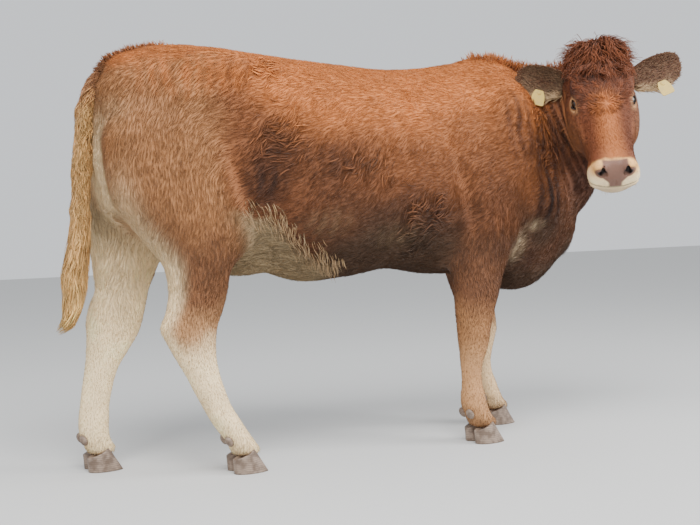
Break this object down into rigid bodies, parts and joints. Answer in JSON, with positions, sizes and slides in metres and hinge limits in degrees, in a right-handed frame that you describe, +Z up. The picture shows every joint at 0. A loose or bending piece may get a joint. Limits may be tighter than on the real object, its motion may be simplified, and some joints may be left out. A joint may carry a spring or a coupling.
{
  "type": "cow",
  "caption": "Life-size still model of a young polled beef cow with a chestnut coat, standing in mid-step with its head turned back over its right shoulder, a plain tag in each ear.",
  "frame": {"origin": "on the ground, at the middle of the bottom of the bounding box", "axes": "+X the way the trunk faces, +Y the cow's left, +Z up"},
  "size_m": [2.0882, 0.8198, 1.3529],
  "materials": {
    "coat_chestnut": "short wavy hair, matt",
    "coat_red": "short thick red-brown hair, matt",
    "coat_tan": "short tan hair, matt",
    "coat_pale": "short pale cream hair, matt",
    "ear_hair": "hairy leaf with a pale fringe, matt",
    "muzzle_skin": "bare damp skin",
    "tail_hair": "long wavy hair, matt",
    "eye": "wet and glossy",
    "horn": "dark horn, satin",
    "tag": "pale yellow plastic, satin"
  },
  "bodies": {
    "root": {"cannon_fore_left": "coat_pale", "cannon_fore_right": "coat_pale", "cannon_hind_left": "coat_pale", "cannon_hind_right": "coat_pale", "claw_fore_left_inner": "horn", "claw_fore_left_outer": "horn", "claw_fore_right_inner": "horn", "claw_fore_right_outer": "horn", "claw_hind_left_inner": "horn", "claw_hind_left_outer": "horn", "claw_hind_right_inner": "horn", "claw_hind_right_outer": "horn", "dewclaw_fore_left_inner": "horn", "dewclaw_fore_left_outer": "horn", "dewclaw_fore_right_inner": "horn", "dewclaw_fore_right_outer": "horn", "dewclaw_hind_left_inner": "horn", "dewclaw_hind_left_outer": "horn", "dewclaw_hind_right_inner": "horn", "dewclaw_hind_right_outer": "horn", "ear_left": "ear_hair", "ear_right": "ear_hair", "ear_tag_left": "tag", "ear_tag_right": "tag", "eye_left": "eye", "eye_right": "eye", "foreleg_left": "coat_tan", "foreleg_right": "coat_tan", "head": "coat_red", "hindleg_left": "coat_tan", "hindleg_right": "coat_tan", "lower_jaw": "coat_pale", "muzzle": "muzzle_skin", "neck": "coat_red", "tail": "tail_hair", "tail_dock": "coat_red", "tail_switch": "tail_hair", "trunk": "coat_chestnut", "udder": "coat_pale"}
  },
  "joints": []
}
